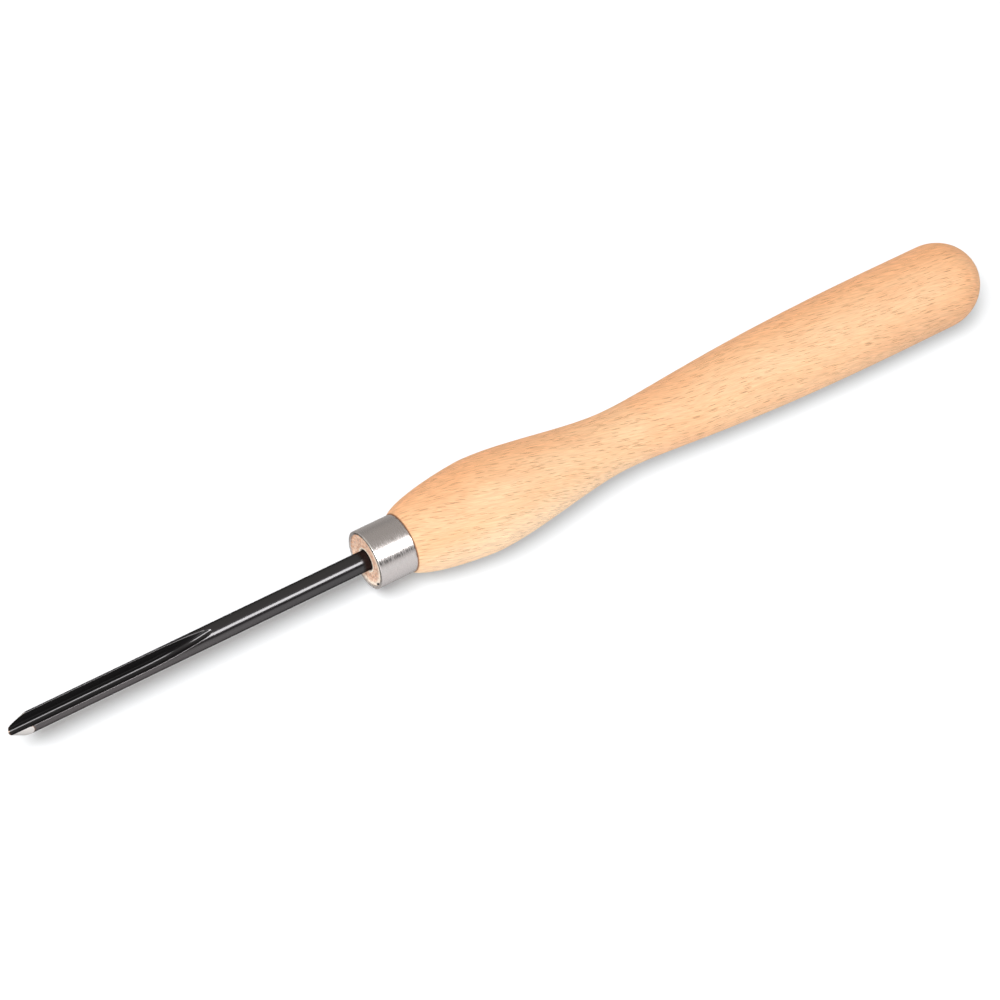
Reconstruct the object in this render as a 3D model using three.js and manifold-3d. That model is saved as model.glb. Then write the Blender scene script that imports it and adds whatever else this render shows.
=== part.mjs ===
// Bowl gouge for woodturning: a fluted round steel blade glued into a turned beech handle
// with a steel ferrule on the handle's nose.
// Millimetres. +X runs from the cutting nose to the handle's butt, and the flute faces +Z.
// The origin is on the ground below the middle of the tool's length.
import * as THREE from "three";
import { mergeVertices } from "three/addons/utils/BufferGeometryUtils.js";
import Module from "manifold-3d";

const wasm = await Module();
wasm.setup();

const degrees = THREE.MathUtils.degToRad;

// Blade: a round bar of three eighths of an inch
const barDiameter = 9.525;
const bladeReach = 175; // nose to the ferrule's front rim
const shankDepth = 60; // hidden end of the bar, from the ferrule's front rim
const shankChamfer = 1;

// Flute: milled by a form wheel that travels along the bar and is then lifted out of it
const fluteLength = 96.5; // nose to the end of the run-out
const fluteFloorDepth = 2; // below the bar's axis
const fluteFloorRadius = 1.8;
const fluteFlare = degrees(22); // of each wall, from upright
const formWheelRadius = 90;

// Nose grind: the bevel lies on a leaning cone, which sweeps the wings back
const bevelAngle = degrees(35); // below the nose, from the bar's axis
const grindConeHalfAngle = degrees(25.6);
const grindApexReach = 4.7; // the cone's point, in front of the nose
const grindNarrowShare = 0.73; // the cone's width for its height

// Ferrule: a ring of steel tube
const ferruleDiameter = 28;
const ferruleWall = 1.5;
const ferruleLength = 19;
const ferruleOuterChamfer = 0.35;
const ferruleInnerChamfer = 0.25;

// Handle: turned beech, measured from its shoulder behind the ferrule
const handleLength = 333;
const shoulderDiameter = 29;
const shoulderChamfer = 0.4;
const bulbDiameter = 45;
const bulbPlace = 41.5;
const waistDiameter = 29;
const waistPlace = 117.5;
const gripDiameter = 42.6;
const gripPlace = 282.5;
const buttDomeLength = 23;
const endGrainRecess = 0.6; // of the wood's front face, behind the ferrule's front rim
const spigotChamfer = 0.5;
const boreMouthChamfer = 0.35;
const drillPointAngle = degrees(118);

// Adhesive between the bar and the bore
const bondThickness = 0.25;
const bondRecess = 3; // from the bore's mouth to the adhesive
const bondPool = 2.5; // adhesive below the bar's end

// Fits
const radialClearance = 0.03;
const seatGap = 0.1;
const cutOverrun = 2;

// Facets: a flat one lies at the bottom of every turned piece
const turnedSides = 48;
const coneSides = 96;
const floorSteps = 14;
const runOutSteps = 14;
const neckSteps = 7;
const bulbSteps = 9;
const gripSteps = 11;
const domeSteps = 9;

// How far each stretch of the handle's outline holds its direction at its two ends, as shares of its length
const neckHoldShares = [0.19, 0.1];
const neckRiseShare = 0.7; // of the swell to the bulb, reached at the end of the neck's hold
const bulbHoldShares = [0.31, 0.3];
const gripHoldShares = [0.17, 0.63];

const barRadius = barDiameter / 2;
const ferruleRadius = ferruleDiameter / 2;
const ferruleBoreRadius = ferruleRadius - ferruleWall;
const spigotRadius = ferruleBoreRadius - radialClearance;
const shoulderRadius = shoulderDiameter / 2;
const bulbRadius = bulbDiameter / 2;
const waistRadius = waistDiameter / 2;
const gripRadius = gripDiameter / 2;
const bondInnerRadius = barRadius + radialClearance;
const bondOuterRadius = bondInnerRadius + bondThickness;
const boreRadius = bondOuterRadius + radialClearance;

// Places along the tool, from the ferrule's front rim
const shoulderAt = ferruleLength + seatGap;
const buttAt = shoulderAt + handleLength;
const bondEndAt = shankDepth + radialClearance + bondPool;
const boreEndAt = bondEndAt + radialClearance;

// A piece turned about the X axis, from a profile of [place along X, radius]
function turned(profile) {
  const points = profile.map(([along, radius]) => new THREE.Vector2(radius, along));
  const flatAtBottom = Math.PI / turnedSides;
  return new THREE.LatheGeometry(points, turnedSides, flatAtBottom).rotateZ(-Math.PI / 2);
}

// A closed body through rings of points, with a flat cap on each end ring
function lofted(rings) {
  const around = rings[0].length;
  const positions = rings.flat().flatMap((point) => point.toArray());
  const index = [];
  for (let ring = 1; ring < rings.length; ring++) {
    for (let i = 0; i < around; i++) {
      const next = (i + 1) % around;
      const low = (ring - 1) * around;
      const high = ring * around;
      index.push(low + i, low + next, high + next, low + i, high + next, high + i);
    }
  }
  const last = (rings.length - 1) * around;
  for (let i = 1; i < around - 1; i++) {
    index.push(0, i + 1, i, last, last + i, last + i + 1);
  }
  const geometry = new THREE.BufferGeometry();
  geometry.setAttribute("position", new THREE.Float32BufferAttribute(positions, 3));
  geometry.setIndex(index);
  return geometry;
}

function solidFrom(geometry) {
  const bare = new THREE.BufferGeometry();
  bare.setAttribute("position", geometry.getAttribute("position"));
  bare.setIndex(geometry.getIndex());
  const merged = mergeVertices(bare);
  return new wasm.Manifold(
    new wasm.Mesh({
      numProp: 3,
      vertProperties: merged.getAttribute("position").array,
      triVerts: new Uint32Array(merged.getIndex().array),
    }),
  );
}

function geometryFrom(solid) {
  const { vertProperties, triVerts } = solid.getMesh();
  const geometry = new THREE.BufferGeometry();
  geometry.setAttribute("position", new THREE.BufferAttribute(vertProperties, 3));
  geometry.setIndex(new THREE.BufferAttribute(triVerts, 1));
  geometry.computeVertexNormals();
  return geometry;
}

// The flute's section as [across, height above its floor]: a round floor and two flaring walls
function fluteSection() {
  const top = fluteFloorDepth + barRadius + cutOverrun;
  const wallStart = Math.PI / 2 - fluteFlare;
  const floor = [];
  for (let step = 0; step <= floorSteps; step++) {
    const turn = wallStart * ((2 * step) / floorSteps - 1);
    floor.push([fluteFloorRadius * Math.sin(turn), fluteFloorRadius * (1 - Math.cos(turn))]);
  }
  const [rightEdge, rightHeight] = floor[floorSteps];
  const mouth = rightEdge + (top - rightHeight) * Math.tan(fluteFlare);
  return [[-mouth, top], ...floor, [mouth, top]];
}

// What the form wheel sweeps: straight along the bar, then up and out round the wheel's own rim.
// The blade's nose is at X zero and its axis at Z zero.
function fluteCut() {
  const section = fluteSection();
  const liftAngle = Math.acos(1 - (fluteFloorDepth + barRadius) / formWheelRadius);
  const wheelX = fluteLength - formWheelRadius * Math.sin(liftAngle);
  const wheelZ = formWheelRadius - fluteFloorDepth;
  const ringAt = (x, angle) =>
    section.map(([across, height]) => {
      const reach = formWheelRadius - height;
      return new THREE.Vector3(x + reach * Math.sin(angle), across, wheelZ - reach * Math.cos(angle));
    });
  const rings = [ringAt(-cutOverrun, 0)];
  for (let step = 0; step <= runOutSteps + 1; step++) {
    rings.push(ringAt(wheelX, (liftAngle * step) / runOutSteps));
  }
  return lofted(rings);
}

// The ground cone, with its lowest line through the nose at the bevel angle
function grindCone() {
  const reach = grindApexReach + bladeReach + shankDepth + barDiameter;
  const cone = new THREE.ConeGeometry(reach * Math.tan(grindConeHalfAngle), reach, coneSides);
  cone.translate(0, -reach / 2, 0);
  cone.rotateZ(Math.PI / 2);
  cone.scale(1, grindNarrowShare, 1);
  cone.rotateY(bevelAngle - grindConeHalfAngle);
  cone.translate(-grindApexReach, 0, grindApexReach * Math.tan(bevelAngle) - fluteFloorDepth);
  return cone;
}

function bladeGeometry() {
  const barEnd = bladeReach + shankDepth;
  const bar = turned([
    [-cutOverrun, 0],
    [-cutOverrun, barRadius],
    [barEnd - shankChamfer, barRadius],
    [barEnd, barRadius - shankChamfer],
    [barEnd, 0],
  ]);
  return geometryFrom(solidFrom(bar).intersect(solidFrom(grindCone())).subtract(solidFrom(fluteCut())));
}

function ferruleGeometry() {
  return turned([
    [ferruleInnerChamfer, ferruleBoreRadius],
    [0, ferruleBoreRadius + ferruleInnerChamfer],
    [0, ferruleRadius - ferruleOuterChamfer],
    [ferruleOuterChamfer, ferruleRadius],
    [ferruleLength - ferruleOuterChamfer, ferruleRadius],
    [ferruleLength, ferruleRadius - ferruleOuterChamfer],
    [ferruleLength, ferruleBoreRadius + ferruleInnerChamfer],
    [ferruleLength - ferruleInnerChamfer, ferruleBoreRadius],
    [ferruleInnerChamfer, ferruleBoreRadius],
  ]);
}

// One stretch of the handle's outline, level where it arrives, and where it leaves unless it rises there
function outlineStretch(from, to, [leaveShare, arriveShare], riseShare, steps) {
  const [length, rise] = [to[0] - from[0], to[1] - from[1]];
  const curve = new THREE.CubicBezierCurve(
    new THREE.Vector2(...from),
    new THREE.Vector2(from[0] + leaveShare * length, from[1] + riseShare * rise),
    new THREE.Vector2(to[0] - arriveShare * length, to[1]),
    new THREE.Vector2(...to),
  );
  return curve.getPoints(steps).map((point) => point.toArray());
}

// The outside of the wood behind its shoulder: neck, bulb, waist, grip and domed butt
function handleOutline() {
  const neck = [shoulderAt + shoulderChamfer, shoulderRadius];
  const bulb = [shoulderAt + bulbPlace, bulbRadius];
  const waist = [shoulderAt + waistPlace, waistRadius];
  const grip = [shoulderAt + gripPlace, gripRadius];
  const domeAt = buttAt - buttDomeLength;
  const dome = new THREE.EllipseCurve(domeAt, 0, buttDomeLength, gripRadius, Math.PI / 2, 0, true);
  return [
    ...outlineStretch(neck, bulb, neckHoldShares, neckRiseShare, neckSteps),
    ...outlineStretch(bulb, waist, bulbHoldShares, 0, bulbSteps).slice(1),
    ...outlineStretch(waist, grip, gripHoldShares, 0, gripSteps).slice(1),
    ...dome.getPoints(domeSteps).slice(0, -1).map((point) => point.toArray()),
    [buttAt, 0],
  ];
}

function handleGeometry() {
  return turned([
    [boreEndAt + boreRadius / Math.tan(drillPointAngle / 2), 0],
    [boreEndAt, boreRadius],
    [endGrainRecess + boreMouthChamfer, boreRadius],
    [endGrainRecess, boreRadius + boreMouthChamfer],
    [endGrainRecess, spigotRadius - spigotChamfer],
    [endGrainRecess + spigotChamfer, spigotRadius],
    [shoulderAt, spigotRadius],
    [shoulderAt, shoulderRadius - shoulderChamfer],
    ...handleOutline(),
  ]);
}

// The adhesive is a thin sleeve round the bar and a pool below its end
function bondGeometry() {
  const bondStart = endGrainRecess + bondRecess;
  return turned([
    [shankDepth + radialClearance, 0],
    [shankDepth + radialClearance, bondInnerRadius],
    [bondStart, bondInnerRadius],
    [bondStart, bondOuterRadius],
    [bondEndAt, bondOuterRadius],
    [bondEndAt, 0],
  ]);
}

const finishes = {
  blackSteel: { color: 0x1b1b1d, roughness: 0.22, metalness: 0.55 },
  satinSteel: { color: 0xb9b5b3, roughness: 0.34, metalness: 1 },
  beech: { color: 0xe9bf8d, roughness: 0.55, metalness: 0 },
  adhesive: { color: 0xc4b083, roughness: 0.4, metalness: 0 },
};

function piece(name, geometry, finish) {
  const mesh = new THREE.Mesh(geometry, new THREE.MeshStandardMaterial(finish));
  mesh.name = name;
  return mesh;
}

const blade = piece("gouge_blade", bladeGeometry(), finishes.blackSteel);
blade.position.x = -bladeReach;

// Everything on one turning axis, with X zero at the ferrule's front rim
const tool = new THREE.Group();
tool.add(
  blade,
  piece("ferrule", ferruleGeometry(), finishes.satinSteel),
  piece("handle", handleGeometry(), finishes.beech),
  piece("adhesive_bond", bondGeometry(), finishes.adhesive),
);
const flatRadius = bulbRadius * Math.cos(Math.PI / turnedSides);
tool.position.set((bladeReach - buttAt) / 2, 0, flatRadius);

const gouge = new THREE.Group();
gouge.name = "bowl_gouge";
gouge.add(tool);

export default gouge;
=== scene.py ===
"""Bowl gouge for woodturning: fluted blade, steel ferrule and turned beech handle, with a small studio.

Metres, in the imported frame: +X from the cutting nose to the butt, +Z up out of the open flute.
"""

import math

import bmesh
import bpy
import numpy as np
from mathutils import Matrix, Vector


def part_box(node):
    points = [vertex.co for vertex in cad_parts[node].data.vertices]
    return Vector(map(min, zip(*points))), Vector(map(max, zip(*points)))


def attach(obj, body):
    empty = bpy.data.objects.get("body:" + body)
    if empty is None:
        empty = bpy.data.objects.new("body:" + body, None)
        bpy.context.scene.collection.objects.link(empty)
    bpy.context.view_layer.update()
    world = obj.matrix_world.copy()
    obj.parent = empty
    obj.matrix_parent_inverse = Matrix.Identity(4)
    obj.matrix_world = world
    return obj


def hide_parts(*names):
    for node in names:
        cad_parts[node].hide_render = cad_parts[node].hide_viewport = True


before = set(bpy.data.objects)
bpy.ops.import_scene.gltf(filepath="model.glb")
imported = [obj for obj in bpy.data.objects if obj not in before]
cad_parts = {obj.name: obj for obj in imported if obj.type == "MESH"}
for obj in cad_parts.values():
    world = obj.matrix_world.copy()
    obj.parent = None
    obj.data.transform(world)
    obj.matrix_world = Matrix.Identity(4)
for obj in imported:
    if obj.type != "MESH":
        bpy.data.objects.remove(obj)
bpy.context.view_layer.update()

bl_info = {
    "name": "Bowl Gouge",
    "version": (1, 0, 0),
    "blender": (4, 5, 0),
    "location": "3D View > Sidebar > Gouge",
    "description": "Finished meshes, materials and studio for a woodturner's bowl gouge",
    "category": "Object",
}

MM = 0.001

# Places along the tool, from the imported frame
BLADE_LOW, BLADE_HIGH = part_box("gouge_blade")
FERRULE_LOW, FERRULE_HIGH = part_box("ferrule")
WOOD_LOW, WOOD_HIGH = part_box("handle")
BOND_LOW, BOND_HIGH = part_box("adhesive_bond")
NOSE_X = BLADE_LOW.x
SHANK_END_X = BLADE_HIGH.x
END_GRAIN_X = WOOD_LOW.x
BUTT_X = WOOD_HIGH.x
AXIS_HEIGHT = (WOOD_LOW.z + WOOD_HIGH.z) / 2
MIDDLE = Vector((0, 0, AXIS_HEIGHT))
FERRULE_RADIUS = (FERRULE_HIGH.z - FERRULE_LOW.z) / 2

# The same in millimetres, for the materials
CUT_END = END_GRAIN_X / MM
FRONT_RIM = FERRULE_LOW.x / MM
REAR_RIM = FERRULE_HIGH.x / MM
BUTT = BUTT_X / MM
BAR_RADIUS = (BLADE_HIGH.z - BLADE_LOW.z) / 2 / MM
RIM_RADIUS = FERRULE_RADIUS / MM
BORE_RADIUS = (BOND_HIGH.z - BOND_LOW.z) / 2 / MM

# Meshes: points closer than this are joined, and an edge is sharp where the surface turns by more
WELD_DISTANCE = 0.0002 * MM
SHARP_TURN = math.radians(38)
BEVEL_SHARP_TURN = math.radians(17)

# Turned pieces: points round the axis, steps along the dome and rings over the end grain
ROUND_SIDES = 256
DOME_STEPS = 40
FACE_RINGS = 24

# The end grain rises towards its rim from this share of its radius
DISH_START = 0.55

# The chip's middle is this many chip widths inside the rim, and its sides fall this steeply
CHIP_INSET = 0.6
CHIP_FALL = 1.5

# Share of light that the black finish mirrors at a glancing angle
EDGE_TINT = (0.27, 0.27, 0.27)

# Height above the axis from which the grinding lines fan out, in millimetres
GRIND_CENTRE = 3

# The grain's turn about the axis, its slant across the tool and how that lessens, and its swerve past
# the waist in millimetres
GRAIN_TURN = math.radians(-20)
GRAIN_SLANT = 0.27
GRAIN_CURVE = 0.00023
GRAIN_SWERVE = 4.2

# Flecks: length and width of their cells in millimetres, how rare they are, and their size in a cell
SHORT_FLECKS = (6.6, 0.34, 0.5, 0.36)
FAINT_FLECKS = (5, 0.3, 0.3, 0.38)
LONG_FLECKS = (20, 0.6, 0.84, 0.3)

# A row of flecks starts this share of a cell away from its neighbour's
STAGGER = 0.618

# The camera's sensor in millimetres, and how near it sees
SENSOR_WIDTH = 36
CLIP_START = 10 * MM

# Colour of the surroundings by turn about the tool, in degrees from overhead towards the camera's side
SURROUNDINGS = [
    (-180, (0.40, 0.39, 0.38)),
    (-120, (0.50, 0.48, 0.46)),
    (-90, (0.38, 0.365, 0.35)),
    (-63, (0.48, 0.455, 0.43)),
    (-4, (0.47, 0.445, 0.42)),
    (13, (0.85, 0.83, 0.81)),
    (30, (0.6, 0.58, 0.56)),
    (43, (0.32, 0.31, 0.30)),
    (46.5, (0.05, 0.048, 0.046)),
    (61, (0.05, 0.048, 0.046)),
    (65, (0.60, 0.585, 0.58)),
    (72, (0.92, 0.90, 0.89)),
    (85, (1.05, 1.03, 1.025)),
    (122, (0.95, 0.93, 0.93)),
    (155, (0.77, 0.76, 0.76)),
    (180, (0.40, 0.39, 0.38)),
]
FULL_TURN = 360

# White round the horizon, where the paper would be
HORIZON = (1, 1, 1)

# Sockets of the Mix node where it mixes colours
MIX_FACTOR, MIX_FIRST, MIX_SECOND, MIX_RESULT = 0, 6, 7, 2


def length(name, millimetres, description):
    return bpy.props.FloatProperty(
        name=name, description=description, default=millimetres * MM, min=0, unit="LENGTH", precision=5
    )


def turn(name, degrees, description):
    return bpy.props.FloatProperty(
        name=name,
        description=description,
        default=math.radians(degrees),
        unit="ROTATION",
        subtype="ANGLE",
    )


def share(name, value, description):
    return bpy.props.FloatProperty(
        name=name, description=description, default=value, min=0, max=1, subtype="FACTOR"
    )


def amount(name, value, description):
    return bpy.props.FloatProperty(name=name, description=description, default=value, min=0)


def colour(name, red, green, blue, description):
    return bpy.props.FloatVectorProperty(
        name=name, description=description, default=(red, green, blue), size=3, min=0, subtype="COLOR"
    )


class GougeBladeSizes(bpy.types.PropertyGroup):
    """The round bar, the flute milled in it and the grind of its nose."""

    bar_diameter: length("Bar diameter", 9.525, "Round bar that the blade is made from")
    shank_chamfer: length("Shank chamfer", 1.0, "Chamfer on the hidden end of the bar")
    flute_length: length("Flute length", 96.5, "From the nose to the end of the flute's run-out")
    floor_depth: length("Flute floor depth", 2, "Flute's floor below the bar's axis")
    floor_radius: length("Flute floor radius", 1.8, "Radius of the flute's round floor")
    flare: turn("Flute flare", 22, "Lean of each flute wall, from upright")
    wheel_radius: length("Form wheel radius", 90, "Wheel that mills the flute and leaves its run-out")
    rim_softness: length("Rim softness", 0.5, "Width of the polished round along each rim of the flute")
    bevel: turn("Bevel angle", 35, "Bevel below the nose, from the bar's axis")
    cone_half_angle: turn("Grind cone half angle", 25.6, "Half angle of the cone of the bevel")
    apex_reach: length("Grind cone reach", 4.7, "Point of the grind's cone, in front of the nose")
    narrow_share: share("Grind cone width", 0.73, "Width of the grind's cone for its height")


class GougeFerruleSizes(bpy.types.PropertyGroup):
    """The ring of steel tube on the handle's nose."""

    wall: length("Wall", 1.5, "Thickness of the steel tube")
    outer_round: length("Outer rim round", 0.35, "Radius on the outer edge of each rim")
    inner_round: length("Inner rim round", 0.22, "Radius on the inner edge of each rim")


class GougeHandleSizes(bpy.types.PropertyGroup):
    """The turned handle, measured from its shoulder behind the ferrule."""

    shoulder_diameter: length("Shoulder diameter", 29, "Wood just behind the ferrule")
    shoulder_chamfer: length("Shoulder chamfer", 0.4, "Softened edge of the shoulder")
    bulb_diameter: length("Bulb diameter", 45, "Widest part near the ferrule")
    bulb_place: length("Bulb place", 41.5, "From the shoulder to the bulb's widest place")
    waist_diameter: length("Waist diameter", 29, "Narrowest part of the handle")
    waist_place: length("Waist place", 117.5, "From the shoulder to the waist")
    grip_diameter: length("Grip diameter", 42.6, "Widest part of the grip")
    grip_place: length("Grip place", 282.5, "From the shoulder to the grip's widest place")
    dome_length: length("Dome length", 23, "Length of the rounded butt")
    seat_gap: length("Seat gap", 0.1, "Gap between the ferrule and the shoulder")
    spigot_clearance: length("Spigot clearance", 0.03, "Between the spigot and the ferrule's bore")
    spigot_chamfer: length("Spigot chamfer", 0.5, "Edge of the end grain inside the ferrule")
    bore_diameter: length("Bore diameter", 10.145, "Blind hole for the bar")
    bore_chamfer: length("Bore mouth chamfer", 0.2, "Edge of the hole in the end grain")
    drill_angle: turn("Drill point angle", 118, "Cone at the bottom of the hole")
    dish: length("End grain dish", 0.45, "The end grain's edge stands this much in front of its middle")
    chip_width: length("Chip width", 0.8, "Middle of the end grain's chip to its edge, outwards")
    chip_length: length("Chip length", 1.8, "Middle of the chip to its edge, round the end grain")
    chip_depth: length("Chip depth", 0.25, "Depth of the chip")
    chip_turn: turn("Chip turn", 75, "Chip round the axis from the bottom, towards the camera's side")


class GougeFinishes(bpy.types.PropertyGroup):
    """Colours of the steel, the wood and the adhesive."""

    black: colour("Black finish", 0.070, 0.068, 0.070, "Gloss black finish of the bar")
    # Painted light: the black finish made lighter on the side towards the camera
    lit_side_black: colour("Worn black finish", 0.115, 0.107, 0.109, "Black finish rubbed on one side")
    # Painted shade: the black finish darkened beside the wood
    wood_shaded_black: colour("Finish at the wood", 0.028, 0.020, 0.021, "Black finish beside the wood")
    bronze: colour("Thinned finish", 0.22, 0.14, 0.10, "Black finish thinned along the ground edge")
    dust: colour("Dust", 0.25, 0.25, 0.25, "Specks on the black finish")
    ground: colour("Ground steel", 0.80, 0.775, 0.755, "Bare ground bevel")
    satin: colour("Satin steel", 0.625, 0.59, 0.58, "Ferrule")
    # Brown film on the rims, also used darkened as painted shade along the front rim's inner edge
    oxide_and_shade: colour("Rim oxide", 0.19, 0.13, 0.10, "Brown film at the ferrule's rims")
    # Painted light on the lower half of the ferrule's front rim
    lit_lower_rim: colour("Lower rim", 0.95, 0.89, 0.86, "Lower half of the ferrule's front rim")
    # Painted highlight along the outer edge of the front rim, on top
    highlight_rim: colour("Worn rim", 0.97, 0.94, 0.89, "Outer edge of the front rim, worn bright on top")
    # Painted light on the bulb's side towards the camera
    lit_beech: colour("Cream beech", 1.0, 0.77, 0.53, "Palest wood, at one side of the bulb")
    pale_beech: colour("Pale beech", 0.87, 0.565, 0.332, "Lightest streaks of the wood")
    pink_beech: colour("Pink beech", 0.865, 0.50, 0.278, "Warmer streaks of the wood")
    # Also painted shade along the side of the handle away from the camera
    orange_beech: colour("Orange beech", 0.88, 0.43, 0.20, "Warmest wood, at one side of the handle")
    fleck: colour("Ray fleck", 0.24, 0.075, 0.022, "Short brown flecks along the grain")
    end_grain: colour("End grain", 0.62, 0.37, 0.27, "Cut end of the wood inside the ferrule")
    end_pale: colour("Pale end grain", 0.95, 0.69, 0.53, "Paler rings in the cut end")
    # Paler edges in the cut end, round the hole and near the rim
    end_cream: colour("Bore edge", 1.0, 0.88, 0.75, "Fresh edge of the hole in the cut end")
    end_fleck: colour("End grain fleck", 0.78, 0.37, 0.15, "Orange spots in the cut end")
    # Also used almost black as painted shade in the chip in the end grain
    stain_and_shade: colour("Shoulder stain", 0.22, 0.085, 0.05, "Dark line where the wood meets steel")
    amber: colour("Adhesive", 0.42, 0.30, 0.13, "Cured amber adhesive")


class GougeStage(bpy.types.PropertyGroup):
    """Floor, lamps, surroundings and camera."""

    key_radiance: amount("Key radiance", 16.5, "Brightness of the main softbox")
    key_size: length("Key lamp size", 2480, "Side of the square main softbox")
    key_distance: length("Key lamp distance", 6400, "Main softbox from the middle of the tool")
    key_turn: turn("Key lamp turn", 5, "Main softbox from overhead, towards the camera's side")
    key_lean: turn("Key lamp lean", 28, "Main softbox from overhead, towards the nose")
    strip_radiance: amount("Strip radiance", 11.5, "Brightness of the strip seen in the steel")
    strip_width: length("Strip width", 600, "Strip softbox across the tool")
    strip_length: length("Strip length", 1100, "Strip softbox along the tool")
    strip_distance: length("Strip distance", 1500, "Strip softbox from the tool's axis")
    strip_turn: turn("Strip turn", 24.3, "Strip softbox from overhead, towards the camera's side")
    strip_place: length("Strip place", 320, "Strip softbox's centre along the tool, behind the middle")
    window: colour("Window", 2.3, 2.3, 2.3, "Low window in front of the tool, seen in the steel")
    shade: colour("Shade", 0.08, 0.08, 0.08, "Dark side of the room, beyond the nose")
    paper: colour("Paper", 0.94, 0.96, 0.98, "White paper floor")
    floor_width: length("Floor width", 20000, "Side of the square floor")
    lens: length("Lens", 97.2, "Focal length on a 36 mm wide frame")
    tool_lean: turn("Lean of the tool", 23.3, "Tool's axis from the image plane, nose nearer")
    camera_turn: turn("Camera turn", 20, "Camera round the tool's axis from overhead")
    image_turn: turn("Image turn", 25.72, "Tool's axis above the image's horizontal")
    axis_distance: length("Axis distance", 1121.57, "Camera from the tool's axis, square to it")
    foot_reach: length("Foot reach", 236.94, "From the nose to where the axis is nearest the camera")
    axis_rise: length("Axis rise", 1.8, "Tool's axis above the centre of the view")


class Value:
    """A number that varies over a surface. Arithmetic on it adds Math nodes."""

    def __init__(self, graph, socket):
        self.graph = graph
        self.socket = socket

    def math(self, operation, *others):
        return self.graph.math(operation, self, *others)

    def __add__(self, other):
        return self.math("ADD", other)

    __radd__ = __add__

    def __sub__(self, other):
        return self.math("SUBTRACT", other)

    def __rsub__(self, other):
        return self.graph.math("SUBTRACT", other, self)

    def __mul__(self, other):
        return self.math("MULTIPLY", other)

    __rmul__ = __mul__

    def __truediv__(self, other):
        return self.math("DIVIDE", other)

    def ramp(self, low, high):
        """Rises smoothly from 0 at low to 1 at high, or falls where low is the larger."""
        inputs = {"Value": self, "From Min": low, "From Max": high}
        node = self.graph.node("MapRange", {"interpolation_type": "SMOOTHSTEP"}, inputs)
        return Value(self.graph, node.outputs["Result"])


class Graph:
    """The nodes of a material or of the world."""

    def __init__(self, tree):
        self.tree = tree
        tree.nodes.clear()

    def node(self, kind, settings=None, inputs=None):
        node = self.tree.nodes.new("ShaderNode" + kind)
        for name, setting in (settings or {}).items():
            if name == "stops":
                self.set_stops(node.color_ramp, setting)
            else:
                setattr(node, name, setting)
        for key, source in (inputs or {}).items():
            source = getattr(source, "socket", source)
            if isinstance(source, bpy.types.NodeSocket):
                self.tree.links.new(source, node.inputs[key])
            else:
                node.inputs[key].default_value = source
        return node

    def set_stops(self, ramp, stops):
        for index, (position, stop_colour) in enumerate(stops):
            paler_edges = index >= len(ramp.elements)
            element = ramp.elements.new(position) if paler_edges else ramp.elements[index]
            element.position = position
            element.color = (*stop_colour, 1)

    def math(self, operation, *inputs):
        node = self.node("Math", {"operation": operation}, dict(enumerate(inputs)))
        return Value(self, node.outputs[0])

    def blend(self, factor, first, second):
        """Mixes two colours."""
        inputs = {MIX_FACTOR: factor, MIX_FIRST: opaque(first), MIX_SECOND: opaque(second)}
        return self.node("Mix", {"data_type": "RGBA"}, inputs).outputs[MIX_RESULT]

    def toned(self, base, tone):
        """A colour made lighter or darker by a value about 1."""
        return self.node("VectorMath", {"operation": "SCALE"}, {0: base, "Scale": tone}).outputs[0]

    def attribute(self, name):
        return Value(self, self.node("Attribute", {"attribute_name": name}).outputs["Fac"])

    def object_place(self):
        """The surface's place in millimetres, with zero on the tool's axis under the middle."""
        place = self.node("TexCoord").outputs["Object"]
        scaled = self.node("VectorMath", {"operation": "MULTIPLY_ADD"}, {
            0: place,
            1: (1 / MM,) * 3,
            2: (0, 0, -AXIS_HEIGHT / MM),
        })
        return scaled.outputs[0]

    def off_axis(self, y, z):
        """Distance from the tool's axis."""
        return self.math("SQRT", y * y + z * z)

    def parts(self, vector):
        node = self.node("SeparateXYZ", None, {0: vector})
        return [Value(self, output) for output in node.outputs]

    def vector(self, x, y, z):
        return self.node("CombineXYZ", None, {0: x, 1: y, 2: z}).outputs[0]

    def noise(self, vector, scale=1.0, detail=2.0, roughness=0.5):
        inputs = {"Vector": vector, "Scale": scale, "Detail": detail, "Roughness": roughness}
        return Value(self, self.node("TexNoise", None, inputs).outputs["Fac"])

    def cells(self, vector):
        """Voronoi cells about one unit wide."""
        return self.node("TexVoronoi", {"feature": "F1"}, {"Vector": vector, "Scale": 1.0})

    def bump(self, height, distance, strength=1.0):
        inputs = {"Height": height, "Distance": distance, "Strength": strength}
        return self.node("Bump", None, inputs).outputs["Normal"]


def opaque(source):
    """A plain colour with its alpha, or a linked one as it is."""
    return source if isinstance(source, bpy.types.NodeSocket) else (*source, 1)


def scaled(base, factor):
    """A plain colour made lighter or darker."""
    return tuple(factor * channel for channel in base)


def material(name, build, choices):
    """A material with the shader inputs that build() makes, from its graph and the chosen colours."""
    made = bpy.data.materials.new(name)
    made.use_nodes = True
    graph = Graph(made.node_tree)
    shader = graph.node("BsdfPrincipled", None, build(graph, choices))
    graph.node("OutputMaterial", None, {"Surface": shader.outputs["BSDF"]})
    return made


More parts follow.
